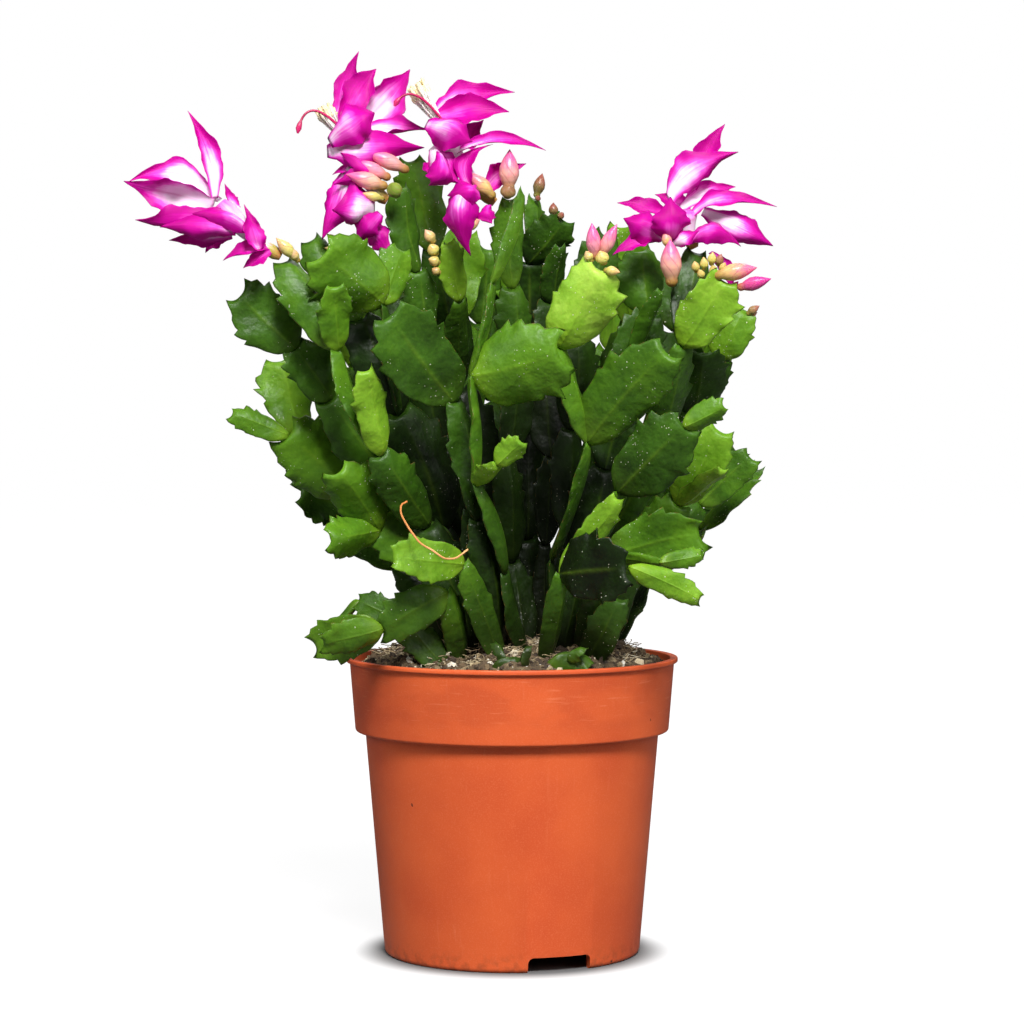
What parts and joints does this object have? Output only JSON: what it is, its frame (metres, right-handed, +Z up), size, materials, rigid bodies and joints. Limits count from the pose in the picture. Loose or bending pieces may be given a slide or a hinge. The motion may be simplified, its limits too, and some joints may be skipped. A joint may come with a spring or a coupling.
{
  "type": "potted christmas cactus",
  "caption": "Bushy Christmas cactus with flat toothed green pads, magenta flowers and buds, growing in a tapered terracotta-coloured plastic pot of soil.",
  "frame": {"origin": "middle of the pot's underside, on the surface that it stands on", "axes": "+Z up, -Y towards the side the plant is seen from, +X to the right of that view"},
  "size_m": [0.2272, 0.1569, 0.3222],
  "materials": {
    "pot_plastic": "satin moulded plastic, faint speckle and scuffs",
    "potting_soil": "dry crumbly peat with bark, fibres and pale grains",
    "pads": "waxy green leaf skin with a soft sheen and pale dust",
    "petals": "silky thin petal, white-pink at the middle and magenta at the edges",
    "stamens": "matt cream pollen",
    "styles": "satin crimson",
    "buds": "waxy pink buds, yellow-green at the base"
  },
  "bodies": {
    "root": {"back_buds": "buds", "back_left_droop": "pads", "back_left_high": "pads", "back_left_low": "pads", "back_left_tall": "pads", "back_middle": "pads", "back_right_droop": "pads", "back_right_high": "pads", "back_right_low": "pads", "back_right_tall": "pads", "back_top_buds": "buds", "big_right_bud": "buds", "far_right_buds": "buds", "front_stump": "pads", "inner_left": "pads", "inner_right": "pads", "left_arch": "pads", "left_blue": "pads", "left_broad": "pads", "left_droop": "pads", "left_flower": "petals", "left_flower_buds": "buds", "left_flowering": "pads", "left_front_low": "pads", "left_long": "pads", "left_low": "pads", "left_middle": "pads", "left_small_buds": "buds", "middle_back": "pads", "middle_buds": "buds", "middle_edge": "pads", "middle_flower": "petals", "middle_small_bud": "buds", "middle_stamens": "stamens", "middle_style": "styles", "middle_upright": "pads", "pot": "pot_plastic", "right_bright": "pads", "right_edge": "pads", "right_edge_buds": "buds", "right_flower": "petals", "right_front_blue": "pads", "right_grey": "pads", "right_high": "pads", "right_low": "pads", "right_lowest": "pads", "right_middle": "pads", "right_sucker": "pads", "right_tip_buds": "buds", "right_upper": "pads", "soil": "potting_soil", "stacked_buds": "buds", "tall_left": "pads", "tall_left_buds": "buds", "tall_middle": "pads", "upper_flower": "petals", "upper_stamens": "stamens", "upper_style": "styles", "woody_stem": "pads"}
  },
  "joints": []
}
